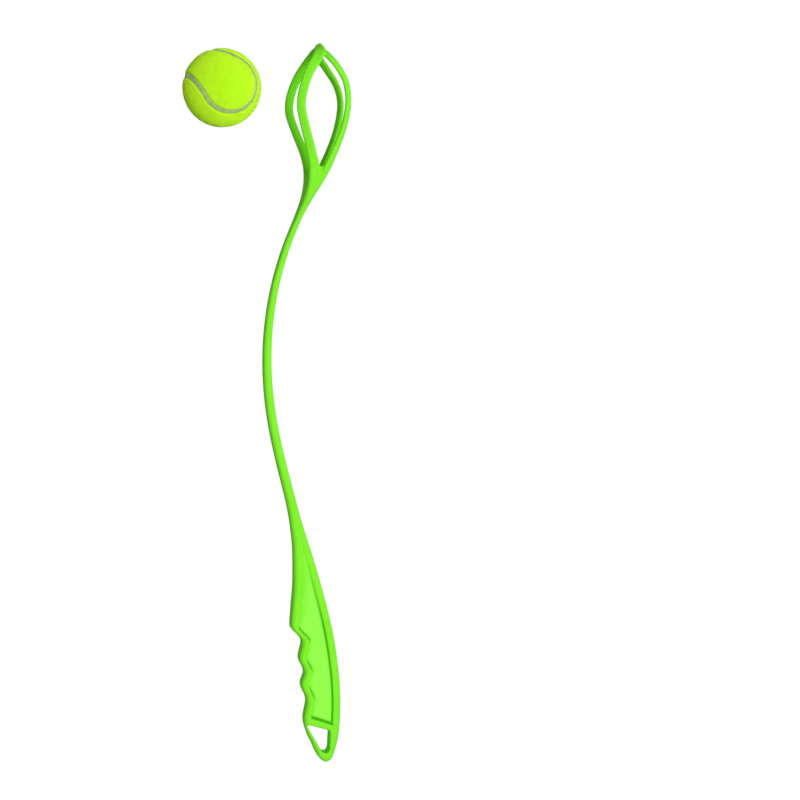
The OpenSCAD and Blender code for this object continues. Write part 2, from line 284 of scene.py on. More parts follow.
def hoop_samples(rows):
    """Points of a hoop half down to its hidden end, with directions and half width of its flat section."""
    runs = len(rows) - 1
    extended = np.vstack([rows[1] * [1, -1, 1, 1, 1], rows, 2 * rows[-1] - rows[-2]])
    place = np.linspace(0, runs, HOOP_STEPS * runs + 1)
    i = np.minimum(place.astype(int), runs - 1)
    t = (place - i)[:, None]
    a, b, c, d = (extended[i + k] for k in range(4))
    cubic = 3 * b - a - 3 * c + d
    square = 2 * a - 5 * b + 4 * c - d
    p = (2 * b + (c - a) * t + square * t ** 2 + cubic * t ** 3) / 2
    way = ((c - a) + 2 * square * t + 3 * cubic * t ** 2)[:, :3]
    way /= np.linalg.norm(way, axis=1, keepdims=True)
    out = p[:, :3].copy()
    out[:, 2] = np.maximum(out[:, 2], TILT_FLOOR)
    up = out - np.sum(out * way, axis=1, keepdims=True) * way
    up /= np.linalg.norm(up, axis=1, keepdims=True)
    side = np.cross(way, up)
    twist = np.radians(p[:, 4:5])
    face = up * np.cos(twist) + side * np.sin(twist)
    wide = side * np.cos(twist) - up * np.sin(twist)
    return {"at": p[:, :3], "way": way, "face": face, "wide": wide, "half": p[:, 3] / 2}


HOOPS = [hoop_samples(LEFT_HOOP), hoop_samples(RIGHT_HOOP)]


# Distance fields: below zero inside the material

SHARP = 1e-6
POINTS_AT_ONCE = 100000


def round_and(a, b, r):
    """Material where both hold, with the outer edge between them rounded."""
    r = np.maximum(r, SHARP)
    return np.minimum(np.maximum(a, b), -r) + np.hypot(np.maximum(a + r, 0), np.maximum(b + r, 0))


def round_or(a, b, r):
    """Material where either holds, with a fillet in the corner between them."""
    return -round_and(-a, -b, r)


def rounded_bar(u, v, half_u, half_v, r):
    """Distance to a bar with rounded edges, from the two places across it."""
    du, dv = np.abs(u) - (half_u - r), np.abs(v) - (half_v - r)
    return np.hypot(np.maximum(du, 0), np.maximum(dv, 0)) + np.minimum(np.maximum(du, dv), 0) - r


def hoop_field(p, hoop):
    """Distance to a hoop with its samples on the +Y side; p is taken from the seat, with Y made positive."""
    at = hoop["at"]
    result = np.empty(len(p))
    # Just short of the last sample, so that each place has a next one
    last = len(at) - 1.001
    spacing = np.linalg.norm(np.diff(at, axis=0), axis=1)
    spacing = np.append(spacing, spacing[-1])
    for start in range(0, len(p), POINTS_AT_ONCE):
        q = p[start:start + POINTS_AT_ONCE]
        near = np.argmin(np.sum(at * at, axis=1) - 2 * q @ at.T, axis=1)
        along = np.sum((q - at[near]) * hoop["way"][near], axis=1)
        place = np.clip(near + along / spacing[near], 0, last)
        i = place.astype(int)
        t = (place - i)[:, None]
        centre = at[i] * (1 - t) + at[i + 1] * t
        wide = hoop["wide"][i] * (1 - t) + hoop["wide"][i + 1] * t
        face = hoop["face"][i] * (1 - t) + hoop["face"][i + 1] * t
        half = hoop["half"][i] * (1 - t[:, 0]) + hoop["half"][i + 1] * t[:, 0]
        off = q - centre
        across, outwards = np.sum(off * wide, axis=1), np.sum(off * face, axis=1)
        # The edges are crisp at the tip and well rounded from the second row down
        edge = np.interp(place, (0, HOOP_STEPS), (TIP_EDGE, ARM_EDGE))
        band = rounded_bar(across, outwards, half, ARM_THICKNESS / 2, edge)
        beyond = np.sum((q - at[-1]) * hoop["way"][-1], axis=1)
        result[start:start + POINTS_AT_ONCE] = np.maximum(band, beyond)
    return result


def cup_field(p):
    """Both hoops, joined at the tip and cut clear of the seated ball."""
    q = p - SEAT
    q[:, 1] = np.abs(q[:, 1])
    left, right = (hoop_field(q, hoop) for hoop in HOOPS)
    loops = round_or(left, right, TIP_FILLET)
    return round_and(loops, BALL_R + CUP_CLEARANCE - np.linalg.norm(q, axis=1), CUP_EDGE)


def line_distance(x, z, start, end):
    """Distance to the right of the line from start to end, in the X and Z plane."""
    dx, dz = end[0] - start[0], end[1] - start[1]
    return ((x - start[0]) * dz - (z - start[1]) * dx) / math.hypot(dx, dz)


def stick_field(p):
    """Handle, shaft and neck: a rounded bar along the outline, with the fork and the grip cut into it."""
    x, y, z = p[:, 0], np.abs(p[:, 1]), p[:, 2]
    low, high, depth = (np.interp(z, STICK_Z, t) for t in (STICK_LOW, STICK_HIGH, STICK_DEPTH))
    half, mid = (high - low) / 2, (high + low) / 2
    sharpen = ramp(z - REACH, *NECK_SHARPENS)
    edge = EDGE_RADIUS + (ARM_EDGE - EDGE_RADIUS) * sharpen
    solid = rounded_bar(x - mid, y, half, depth, np.minimum(edge, ROUND_SHARE * np.minimum(half, depth)))
    solid = round_and(solid, HANDLE_FOOT - z, FOOT_RADIUS)

    upper = z > REACH + FORK_FROM
    if upper.any():
        solid[upper] = forked_field(solid[upper], x[upper] - SEAT[0], y[upper], z[upper] - REACH)

    grip = z < GRIP_TOP
    if grip.any():
        solid[grip] = grip_field(solid[grip], x[grip], y[grip], z[grip], low[grip], high[grip], depth[grip])
    return solid


def forked_field(solid, x, y, z):
    """Top of the neck, hollowed between the arms: a saddle along X, and the foot of the windows along Y."""
    saddle_r = (SADDLE_HALF ** 2 + SADDLE_DEPTH ** 2) / (2 * SADDLE_DEPTH)
    above = np.minimum(z - (NECK_TOP - SADDLE_DEPTH + saddle_r), 0)
    saddle = saddle_r - np.hypot(y, above)
    inner_edges = []
    for rows, side in ((LEFT_HOOP, 1), (RIGHT_HOOP, -1)):
        low, high = ((r[0] + side * r[3] / 2, r[2]) for r in (rows[-2], rows[-3]))
        inner_edges.append(-side * line_distance(x, z, low, high))
    window = -round_and(np.maximum(*inner_edges), WINDOW_FOOT - z, WINDOW_FILLET)
    solid = round_and(solid, z - NECK_TOP - NECK_CAP, JOIN_FILLET)
    return round_and(round_and(solid, saddle, ARM_EDGE), window, ARM_EDGE)


def panel_sides(x, z, low, high):
    """Distances inwards from the finger side, the back and the foot of the sunk panel's outline."""
    lean_low, lean_high = np.interp(z, STICK_Z, LOW_LEAN), np.interp(z, STICK_Z, HIGH_LEAN)
    from_fingers = (x - low - FINGER_RIM) * lean_low
    from_back = (high - PANEL_RIM - x) * lean_high
    return from_fingers, from_back, line_distance(x, z, PANEL_FOOT_RIGHT, PANEL_FOOT_LEFT)


def grip_field(solid, x, y, z, low, high, depth):
    """Panels sunk into both faces of the handle, deepest along their outline, and the hang hole."""
    sides = panel_sides(x, z, low, high)
    grooves = [np.exp(-(np.maximum(side, 0) / width) ** 2) * extra
               for side, width, extra in zip(sides, GROOVE_WIDTHS, GROOVE_DEPTHS)]
    fade = ramp(z, PANEL_TOP, PANEL_TOP - PANEL_FADE)
    floor_depth = fade * (PANEL_FLOOR + np.maximum.reduce(grooves))
    below_face = depth - y
    fingers, back, foot = ((side - draft * np.maximum(below_face, 0)) / math.hypot(1, draft)
                           for side, draft in zip(sides, PANEL_DRAFTS))
    wall = round_or(np.minimum(fingers, back), foot, PANEL_CORNER)
    solid = round_and(solid, np.minimum(wall, floor_depth - below_face), PANEL_EDGE)

    top, right, bottom, left = (line_distance(x, z, end, start)
                                for start, end in zip(HOLE_CORNERS, HOLE_CORNERS[1:] + HOLE_CORNERS[:1]))
    upper_round, lower_round = HOLE_ROUND
    upper = round_and(round_and(top, right, upper_round), left, upper_round)
    lower = round_and(round_and(right, bottom, lower_round), left, lower_round)
    return round_and(solid, -round_and(upper, lower, SHARP), HOLE_EDGE)


def launcher_field(p):
    """The whole moulding, from the foot of the handle to the tip of the cup."""
    result = stick_field(p)
    upper = p[:, 2] > REACH + CUP_FROM
    if upper.any():
        result[upper] = round_or(result[upper], cup_field(p[upper]), JOIN_FILLET)
    return result


# Skin of a field: one vertex in each lattice cell that the surface crosses, drawn onto the surface

BLOCK = 8
CELL_CORNERS = np.array([(i, j, k) for i in (0, 1) for j in (0, 1) for k in (0, 1)])
CELL_EDGES = [(a, b) for a in range(8) for b in range(a + 1, 8)
              if np.abs(CELL_CORNERS[a] - CELL_CORNERS[b]).sum() == 1]
# Reach of the slope's test points, and the least slope that a pull is worked out with
SLOPE_REACH = 0.03
LEAST_SLOPE = 0.05
# Longest pulls onto the surface as parts of a cell: at first, while the quads are evened, and at last
FIRST_PULL = 0.6
EVENED_PULL = 0.4
LAST_PULL = 0.3
EVEN_ROUNDS = 3


def lattice(start, end, step):
    """Evenly spaced places from start to end or a little beyond, in whole blocks."""
    count = math.ceil((end - start) / step / BLOCK) * BLOCK
    return start + step * np.arange(count + 1)


def slope_of(field, p):
    steps = SLOPE_REACH * np.eye(3)
    return np.stack([(field(p + s) - field(p - s)) / (2 * SLOPE_REACH) for s in steps], axis=1)


def drawn_on(field, p, rounds, most):
    """Points pulled along the field's slope onto its surface, by no more than a given length each time."""
    for _ in range(rounds):
        value, slope = field(p.copy()), slope_of(field, p)
        shift = (value / np.maximum(np.sum(slope * slope, axis=1), LEAST_SLOPE))[:, None] * slope
        length = np.linalg.norm(shift, axis=1, keepdims=True)
        p = p - shift * np.minimum(1, most / np.maximum(length, 1e-9))
    return p


def evened(places, quads):
    """Each vertex moved half way to the middle of its neighbours, so that the quads are of even size."""
    total, count = np.zeros_like(places), np.zeros(len(places))
    for a in range(4):
        b = (a + 1) % 4
        np.add.at(total, quads[:, a], places[quads[:, b]])
        np.add.at(total, quads[:, b], places[quads[:, a]])
        np.add.at(count, quads[:, a], 1)
        np.add.at(count, quads[:, b], 1)
    return places + 0.5 * (total / count[:, None] - places)


def skin_of(field, xs, ys, zs):
    """Vertices in millimetres and outward quads of the closed surface where field is zero."""
    axes = (xs, ys, zs)
    # Only the blocks of cells that the surface can reach are looked at closely
    corners = [np.arange(0, len(a) - 1, BLOCK) for a in axes]
    first = np.stack(np.meshgrid(*corners, indexing="ij"), -1).reshape(-1, 3)
    ends = [np.stack([a[first[:, n]], a[first[:, n] + BLOCK]], 1) for n, a in enumerate(axes)]
    centre = np.stack([e.mean(1) for e in ends], 1)
    reach = np.linalg.norm(np.stack([e[:, 1] - e[:, 0] for e in ends], 1), axis=1)
    first = first[np.abs(field(centre)) < reach]
    offset = np.arange(BLOCK + 1)
    x, y, z = (a[first[:, n][:, None] + offset] for n, a in enumerate(axes))
    shape = (len(first),) + (BLOCK + 1,) * 3
    p = np.empty(shape + (3,))
    p[..., 0] = x[:, :, None, None]
    p[..., 1] = y[:, None, :, None]
    p[..., 2] = z[:, None, None, :]
    value = field(p.reshape(-1, 3)).reshape(shape)
    inside = value < 0
    span = (slice(0, BLOCK), slice(1, BLOCK + 1))
    filled = sum(inside[:, span[i], span[j], span[k]].astype(int) for i, j, k in CELL_CORNERS)

    # A crossed cell's vertex starts at the mean of the crossings on its edges
    cell = np.stack(np.nonzero((filled > 0) & (filled < 8)), 1)
    block, local = cell[:, 0], cell[:, 1:]
    total, count = np.zeros((len(cell), 3)), np.zeros(len(cell))
    for a, b in CELL_EDGES:
        at_a, at_b = ((block, *(local + CELL_CORNERS[n]).T) for n in (a, b))
        va, vb = value[at_a], value[at_b]
        crossed = (va < 0) != (vb < 0)
        share = np.where(crossed, va / np.where(crossed, va - vb, 1), 0)[:, None]
        total += crossed[:, None] * (p[at_a] * (1 - share) + p[at_b] * share)
        count += crossed
    places = total / count[:, None]

    # Each crossed lattice edge gives a quad through the four cells around it
    size = np.array([len(a) + 2 for a in axes])

    def name(index):
        return ((index[..., 0] + 1) * size[1] + index[..., 1] + 1) * size[2] + index[..., 2] + 1

    names = name(first[block] + local)
    order = np.argsort(names)
    sorted_names = names[order]
    quads = []
    for axis, (one, two) in enumerate(((1, 2), (2, 0), (0, 1))):
        ahead = [span[0]] * 3
        ahead[axis] = span[1]
        low, high = inside[:, span[0], span[0], span[0]], inside[(slice(None), *ahead)]
        edge = np.stack(np.nonzero(low != high), 1)
        base = first[edge[:, 0]] + edge[:, 1:]
        around = []
        for back_one, back_two in ((1, 1), (0, 1), (0, 0), (1, 0)):
            index = base.copy()
            index[:, one] -= back_one
            index[:, two] -= back_two
            around.append(order[np.searchsorted(sorted_names, name(index))])
        around = np.stack(around, 1)
        outward = low[tuple(edge.T)]
        quads.append(np.where(outward[:, None], around, around[:, ::-1]))
    quads = np.concatenate(quads)

    cell_size = min(np.diff(a).min() for a in axes)
    places = drawn_on(field, places, 2, FIRST_PULL * cell_size)
    for _ in range(EVEN_ROUNDS):
        places = drawn_on(field, evened(places, quads), 1, EVENED_PULL * cell_size)
    return drawn_on(field, places, 1, LAST_PULL * cell_size), quads


def mesh_piece(name, places, quads, material):
    mesh = bpy.data.meshes.new(name)
    mesh.from_pydata((places * MM).tolist(), [], quads.tolist())
    mesh.polygons.foreach_set("use_smooth", np.ones(len(quads), bool))
    mesh.materials.append(material)
    mesh.update()
    piece = bpy.data.objects.new(name, mesh)
    bpy.context.scene.collection.objects.link(piece)
    return piece


def point_values(piece, name, values):
    attribute = piece.data.attributes.new(name, "FLOAT", "POINT")
    attribute.data.foreach_set("value", np.asarray(values, np.float32))


# Materials

LIME_DEEP = (0.208, 0.84, 0.023)
LIME_LIGHT = (0.238, 0.89, 0.033)
# Painted highlight on the flat face of the sunk panel
LIME_PANEL_HIGHLIGHT = (0.30, 0.96, 0.075)
# Painted shade, for the corners of the sunk panels and the inner faces of the cup
LIME_PAINTED_SHADE = (0.05, 0.46, 0.0)
LIME_SCUFFED = (0.28, 0.95, 0.06)
FELT_DEEP = (0.50, 0.93, 0.006)
FELT_LIGHT = (0.73, 1.0, 0.04)
FELT_SHEEN = (0.6, 1.0, 0.08, 1.0)
CEMENT_DULL = (0.28, 0.41, 0.115)
CEMENT_PALE = (0.47, 0.66, 0.22)
RUBBER_BLACK = (0.012, 0.012, 0.012)
RUBBER_GREY = (0.03, 0.03, 0.028)
# Part of the noise that is stretched out to a full range
NOISE_LOW = 0.3
NOISE_HIGH = 0.7
# Sockets of a colour mix node
MIX_SHARE = 0
MIX_FIRST = 6
MIX_SECOND = 7
MIX_RESULT = 2


def new_group(kind_of_tree, name, inputs, outputs):
    tree = bpy.data.node_groups.new(name, kind_of_tree)
    for label, kind, *default in inputs:
        socket = tree.interface.new_socket(name=label, in_out="INPUT", socket_type=kind)
        if default:
            socket.default_value = default[0]
    for label, kind in outputs:
        tree.interface.new_socket(name=label, in_out="OUTPUT", socket_type=kind)
    return tree, tree.nodes.new("NodeGroupInput"), tree.nodes.new("NodeGroupOutput")


def node(tree, kind, **settings):
    """A new node; in_2=value sets its input 2, and any other name is a property of the node."""
    made = tree.nodes.new(kind)
    for key, value in settings.items():
        if key.startswith("in_"):
            made.inputs[int(key[3:])].default_value = value
        else:
            setattr(made, key, value)
    return made


def mottle_group():
    """Slow and fine variation of a surface, each from 0 to 1, on Object coordinates."""
    tree, entry, out = new_group(
        "ShaderNodeTree", "Surface mottle",
        [("Slow Scale", "NodeSocketFloat", 60.0), ("Fine Scale", "NodeSocketFloat", 900.0)],
        [("Slow", "NodeSocketFloat"), ("Fine", "NodeSocketFloat")])
    place = node(tree, "ShaderNodeTexCoord")
    for scale, detail in (("Slow Scale", 3.0), ("Fine Scale", 4.0)):
        noise = node(tree, "ShaderNodeTexNoise")
        noise.inputs["Detail"].default_value = detail
        noise.inputs["Roughness"].default_value = 0.55
        tree.links.new(place.outputs["Object"], noise.inputs["Vector"])
        tree.links.new(entry.outputs[scale], noise.inputs["Scale"])
        tree.links.new(noise.outputs["Fac"], out.inputs[scale.split()[0]])
    return tree


MOTTLE = mottle_group()


def material_base(name, slow, fine):
    """A new material with its shader and a mottle group of the given scales."""
    material = bpy.data.materials.new(name)
    material.use_nodes = True
    tree = material.node_tree
    shader = tree.nodes["Principled BSDF"]
    mottle = node(tree, "ShaderNodeGroup", node_tree=MOTTLE)
    mottle.inputs["Slow Scale"].default_value = slow
    mottle.inputs["Fine Scale"].default_value = fine
    return material, tree, shader, mottle


def ranged(tree, noise, low, high):
    """The noise spread over the range from low to high."""
    made = node(tree, "ShaderNodeMapRange")
    limits = (("From Min", NOISE_LOW), ("From Max", NOISE_HIGH), ("To Min", low), ("To Max", high))
    for label, value in limits:
        made.inputs[label].default_value = value
    tree.links.new(noise, made.inputs["Value"])
    return made.outputs["Result"]


def mixed(tree, share, first, second):
    """Colour between first and second, each a plain colour or a socket."""
    made = node(tree, "ShaderNodeMix", data_type="RGBA")
    for index, value in ((MIX_FIRST, first), (MIX_SECOND, second)):
        if isinstance(value, tuple):
            made.inputs[index].default_value = (*value, 1.0)
        else:
            tree.links.new(value, made.inputs[index])
    tree.links.new(share, made.inputs[MIX_SHARE])
    return made.outputs[MIX_RESULT]


def bumped(tree, shader, height, strength, distance):
    made = node(tree, "ShaderNodeBump")
    made.inputs["Strength"].default_value = strength
    made.inputs["Distance"].default_value = distance
    tree.links.new(height, made.inputs["Height"])
    tree.links.new(made.outputs["Normal"], shader.inputs["Normal"])


def launcher_plastic():
    material, tree, shader, mottle = material_base("launcher_plastic_lime", slow=35.0, fine=1400.0)
    slow = ranged(tree, mottle.outputs["Slow"], 0.0, 1.0)
    colour = mixed(tree, slow, LIME_DEEP, LIME_LIGHT)
    # Painted highlight on the panel's flat face
    panel = node(tree, "ShaderNodeAttribute", attribute_name="panel")
    colour = mixed(tree, panel.outputs["Fac"], colour, LIME_PANEL_HIGHLIGHT)
    # Painted shade in the panel's corners and on the cup's inner faces
    painted_shade = node(tree, "ShaderNodeAttribute", attribute_name="painted_shade")
    colour = mixed(tree, painted_shade.outputs["Fac"], colour, LIME_PAINTED_SHADE)
    worn = node(tree, "ShaderNodeAttribute", attribute_name="edge_wear")
    scuffed = node(tree, "ShaderNodeMath", operation="MULTIPLY")
    tree.links.new(worn.outputs["Fac"], scuffed.inputs[0])
    tree.links.new(ranged(tree, mottle.outputs["Fine"], 0.1, 0.45), scuffed.inputs[1])
    tree.links.new(mixed(tree, scuffed.outputs[0], colour, LIME_SCUFFED), shader.inputs["Base Color"])
    tree.links.new(ranged(tree, mottle.outputs["Slow"], 0.58, 0.70), shader.inputs["Roughness"])
    shader.inputs["Specular IOR Level"].default_value = 0.02
    bumped(tree, shader, mottle.outputs["Fine"], strength=0.12, distance=0.00012)
    return material


def ball_felt():
    material, tree, shader, mottle = material_base("ball_felt_yellow_green", slow=170.0, fine=1500.0)
    fine = ranged(tree, mottle.outputs["Fine"], 0.0, 1.0)
    colour = mixed(tree, fine, FELT_DEEP, FELT_LIGHT)
    shade = ranged(tree, mottle.outputs["Slow"], 0.0, 0.35)
    tree.links.new(mixed(tree, shade, colour, FELT_DEEP), shader.inputs["Base Color"])
    tree.links.new(ranged(tree, mottle.outputs["Fine"], 0.86, 1.0), shader.inputs["Roughness"])
    shader.inputs["Specular IOR Level"].default_value = 0.06
    shader.inputs["Diffuse Roughness"].default_value = 1.0
    shader.inputs["Sheen Weight"].default_value = 0.5
    shader.inputs["Sheen Roughness"].default_value = 0.55
    shader.inputs["Sheen Tint"].default_value = FELT_SHEEN
    bumped(tree, shader, mottle.outputs["Fine"], strength=0.5, distance=0.0005)
    return material


def seam_cement():
    material, tree, shader, mottle = material_base("seam_cement_pale", slow=220.0, fine=1800.0)
    slow = ranged(tree, mottle.outputs["Slow"], 0.0, 1.0)
    tree.links.new(mixed(tree, slow, CEMENT_DULL, CEMENT_PALE), shader.inputs["Base Color"])
    tree.links.new(ranged(tree, mottle.outputs["Fine"], 0.55, 0.8), shader.inputs["Roughness"])
    bumped(tree, shader, mottle.outputs["Fine"], strength=0.4, distance=0.0003)
    return material


def core_rubber():
    material, tree, shader, mottle = material_base("core_rubber_dark", slow=90.0, fine=1200.0)
    slow = ranged(tree, mottle.outputs["Slow"], 0.0, 1.0)
    tree.links.new(mixed(tree, slow, RUBBER_BLACK, RUBBER_GREY), shader.inputs["Base Color"])
    tree.links.new(ranged(tree, mottle.outputs["Fine"], 0.6, 0.85), shader.inputs["Roughness"])
    bumped(tree, shader, mottle.outputs["Fine"], strength=0.3, distance=0.0002)
    return material


# Launcher: one moulding from the foot of the handle to the tip of the cup

# Worn edges: how far the test for a bend reaches, and the bends between which wear grows to its full
WEAR_REACH = 0.8
WEAR_BENDS = (0.25, 0.85)
# Least |y| of the faces that hold the panels
FACE_FROM = 4.0
# Where the panel's paler colour, a painted highlight on its flat face, begins inside its outline, and how
# soon it is full
PALE_START = 0.6
PALE_SOFT = 1.2
# Above the fingers it grows softer by this much, between these heights
PALE_EXTRA_SOFT = 7.0
PALE_HEIGHTS = (38, 54)
# Finger side, back and foot of the panel: middle and width of the painted shade in its corner
CREASES = ((0.5, 0.7), (0.9, 1.1), (0.7, 1.6))
# The painted shade along the fingers is full where their outline falls back this steeply, the one at the back
# fades upwards, and all of them begin at the panel's outline
CREASE_FALL = 0.5
CREASE_HEIGHTS = (98, 38)
CREASE_START = (-0.9, 0.1)
# Painted shade on the inner faces of the cup: how dark, the heights from the ball's centre where the tone
# starts and ends, and how far a face has to turn towards it
CUP_SHADE = 0.4
CUP_SHADE_FOOT = (NECK_TOP - 10, NECK_TOP + 5)
CUP_SHADE_TOP = (27, 11)
CUP_SHADE_TURN = (0.1, 0.6)


def panel_painted_shade(sides, inside, z):
    """How dark the painted shade in the corner between the panel and its wall is, on each of its three sides.
    """
    fall = -np.interp(z, STICK_Z, LOW_SLOPE)
    shares = (ramp(fall, 0, CREASE_FALL), ramp(z, *CREASE_HEIGHTS), 1)
    lines = [share * np.exp(-((side - middle) / width) ** 2)
             for side, share, (middle, width) in zip(sides, shares, CREASES)]
    return np.maximum.reduce(lines) * ramp(inside, *CREASE_START)


def painted_cup_shade(places):
    """How dark the painted shade is on the inner faces of the cup that turn towards the seated ball."""
    slope = slope_of(launcher_field, places)
    inwards = SEAT - places
    lengths = np.linalg.norm(slope, axis=1) * np.linalg.norm(inwards, axis=1)
    turned = np.sum(slope * inwards, axis=1) / lengths
    height = places[:, 2] - REACH
    return CUP_SHADE * ramp(height, *CUP_SHADE_FOOT) * ramp(height, *CUP_SHADE_TOP) * ramp(turned, *CUP_SHADE_TURN)


def paint_launcher(piece, places):
    """Vertex values that the plastic reads: worn edges, the panel's painted highlight, and painted shade."""
    steps = WEAR_REACH * np.eye(3)
    bend = sum(launcher_field(places + s) + launcher_field(places - s) for s in steps) / WEAR_REACH ** 2
    point_values(piece, "edge_wear", ramp(bend, *WEAR_BENDS))

    x, y, z = places[:, 0], places[:, 1], places[:, 2]
    low, high = (np.interp(z, STICK_Z, t) for t in (STICK_LOW, STICK_HIGH))
    sides = panel_sides(x, z, low, high)
    inside = np.minimum.reduce(sides)
    on_face = (z < PANEL_TOP) & (np.abs(y) > FACE_FROM)
    # Painted highlight on the panel's flat face, softer along the fingers above the lip
    softness = PALE_SOFT + PALE_EXTRA_SOFT * ramp(z, *PALE_HEIGHTS)
    along_fingers = ramp(sides[0], PALE_START, PALE_START + softness)
    panel_highlight = np.minimum(along_fingers, ramp(inside, PALE_START, PALE_START + PALE_SOFT))
    point_values(piece, "panel", np.where(on_face, panel_highlight, 0))
    # Painted shade in the panel's corners, and on the cup's inner faces below
    painted_shade = np.where(on_face, panel_painted_shade(sides, inside, z), 0)
    point_values(piece, "painted_shade", np.maximum(painted_shade, painted_cup_shade(places)))


def make_launcher():
    # The lattice is coarser along the plain shaft
    heights = lattice(LAUNCHER_FOOT, SHAFT_FROM, FINE_CELL)
    for end, cell in ((SHAFT_TO, SHAFT_CELL), (LAUNCHER_TOP, FINE_CELL)):
        heights = np.concatenate([heights, lattice(heights[-1], end, cell)[1:]])
    widths, depths = lattice(*LAUNCHER_X, FINE_CELL), lattice(*LAUNCHER_Y, FINE_CELL)
    places, quads = skin_of(launcher_field, widths, depths, heights)
    piece = mesh_piece("launcher_moulding", places, quads, launcher_plastic())
    paint_launcher(piece, places)
    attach(piece, "launcher")
    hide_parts("handle", "shaft", "cup_neck", "front_left_arm", "back_left_arm", "front_right_arm",
                "back_right_arm", "cup_tip")


# Ball: two felt panels and the cement line between them, in the ball's own frame

# The ball is measured over its nap, so the felt under the fibres is a little smaller
NAP_HEIGHT = 0.35
FELT_R = BALL_R - NAP_HEIGHT
FELT_EDGE = 1.4
# Fibres grow on the felt's face down to this depth at its rounded edges
NAP_MARGIN = 0.35
# Distance from the seam beyond which its field stays level
SEAM_REACH = 6.0
LOBE_ANGLE = math.acos(math.cos(LOBE_LEAN) * math.cos(math.radians(45)))
UPPER_LOBES = np.array([(s * math.cos(LOBE_LEAN), 0, math.sin(LOBE_LEAN)) for s in (-1, 1)])
LOWER_LOBES = np.array([(0, s * math.cos(LOBE_LEAN), -math.sin(LOBE_LEAN)) for s in (-1, 1)])
# Fibres in metres and per square metre, then as parts of their length: bend and range of lengths
FIBRE_DENSITY = 1.6e6
FIBRE_LENGTH = 0.0011
FIBRE_THICKNESS = 0.00007
FIBRE_BEND = ((0, 0, -0.05), (0.1, 0, 0.34), (0.85, 0, 0.3))
FIBRE_SHARES = (0.6, 1.15)
# Range of a fibre's turns in radians: a small lean, and any way round
FIBRE_TURNS = ((-0.2, -0.2, 0), (0.2, 0.2, 6.283))


def from_seam(p):
    """Distance over the ball's surface to the middle of the seam, above zero on the first panel."""
    way = p / np.maximum(np.linalg.norm(p, axis=1, keepdims=True), 1e-9)
    upper = np.arccos(np.clip((way @ UPPER_LOBES.T).max(1), -1, 1)) - LOBE_ANGLE
    lower = LOBE_ANGLE - np.arccos(np.clip((way @ LOWER_LOBES.T).max(1), -1, 1))
    return np.clip(np.where(p[:, 2] > 0, upper, lower) * BALL_R, -SEAM_REACH, SEAM_REACH)


def felt_field(side):
    def field(p):
        radius = np.linalg.norm(p, axis=1)
        cover = round_and(radius - FELT_R, SEAM_WIDTH / 2 - side * from_seam(p), FELT_EDGE)
        return np.maximum(cover, BALL_R - FELT_THICKNESS - radius)
    return field


def seam_field(p):
    radius = np.linalg.norm(p, axis=1)
    across = np.abs(from_seam(p)) - SEAM_WIDTH / 2
    return np.maximum(np.maximum(radius - FELT_R + SEAM_SINK, across), BALL_R - FELT_THICKNESS - radius)


def nap_tree():
    """Short bent fibres strewn over the felt wherever its nap value is 1."""
    tree, entry, out = new_group(
        "GeometryNodeTree", "Felt nap",
        [("Felt", "NodeSocketGeometry"), ("Density", "NodeSocketFloat", FIBRE_DENSITY),
         ("Fibre Length", "NodeSocketFloat", FIBRE_LENGTH),
         ("Fibre Thickness", "NodeSocketFloat", FIBRE_THICKNESS),
         ("Seed", "NodeSocketInt", 1), ("Material", "NodeSocketMaterial")],
        [("Nap", "NodeSocketGeometry")])
    link = tree.links.new

    def maths(operation, first, second):
        made = node(tree, "ShaderNodeMath", operation=operation)
        link(first, made.inputs[0])
        link(second, made.inputs[1])
        return made.outputs[0]

    napped = node(tree, "GeometryNodeInputNamedAttribute", data_type="FLOAT", in_0="nap")
    strewn = node(tree, "GeometryNodeDistributePointsOnFaces")
    link(entry.outputs["Felt"], strewn.inputs["Mesh"])
    link(maths("MULTIPLY", entry.outputs["Density"], napped.outputs["Attribute"]), strewn.inputs["Density"])
    link(entry.outputs["Seed"], strewn.inputs["Seed"])

    # One fibre of length 1: a bent line of two runs with a three-sided section
    root, middle, tip = FIBRE_BEND
    bent = node(tree, "GeometryNodeCurveQuadraticBezier", in_0=2, in_1=root, in_2=middle, in_3=tip)
    section = node(tree, "GeometryNodeCurvePrimitiveCircle", in_0=3)
    slimness = maths("DIVIDE", entry.outputs["Fibre Thickness"], entry.outputs["Fibre Length"])
    link(slimness, section.inputs["Radius"])
    fibre = node(tree, "GeometryNodeCurveToMesh")
    link(bent.outputs["Curve"], fibre.inputs["Curve"])
    link(section.outputs["Curve"], fibre.inputs["Profile Curve"])

    least_turn, most_turn = FIBRE_TURNS
    turn = node(tree, "FunctionNodeRandomValue", data_type="FLOAT_VECTOR", in_0=least_turn, in_1=most_turn)
    turned = node(tree, "FunctionNodeEulerToRotation")
    link(turn.outputs[0], turned.inputs[0])
    laid = node(tree, "FunctionNodeRotateRotation", rotation_space="LOCAL")
    link(strewn.outputs["Rotation"], laid.inputs["Rotation"])
    link(turned.outputs[0], laid.inputs["Rotate By"])
    shortest, longest = FIBRE_SHARES
    share = node(tree, "FunctionNodeRandomValue", data_type="FLOAT", in_2=shortest, in_3=longest)
    placed = node(tree, "GeometryNodeInstanceOnPoints")
    link(strewn.outputs["Points"], placed.inputs["Points"])
    link(fibre.outputs["Mesh"], placed.inputs["Instance"])
    link(laid.outputs["Rotation"], placed.inputs["Rotation"])
    link(maths("MULTIPLY", share.outputs[1], entry.outputs["Fibre Length"]), placed.inputs["Scale"])

    real = node(tree, "GeometryNodeRealizeInstances")
    link(placed.outputs["Instances"], real.inputs["Geometry"])
    painted = node(tree, "GeometryNodeSetMaterial")
    link(real.outputs["Geometry"], painted.inputs["Geometry"])
    link(entry.outputs["Material"], painted.inputs["Material"])
    link(painted.outputs["Geometry"], out.inputs["Nap"])
    return tree


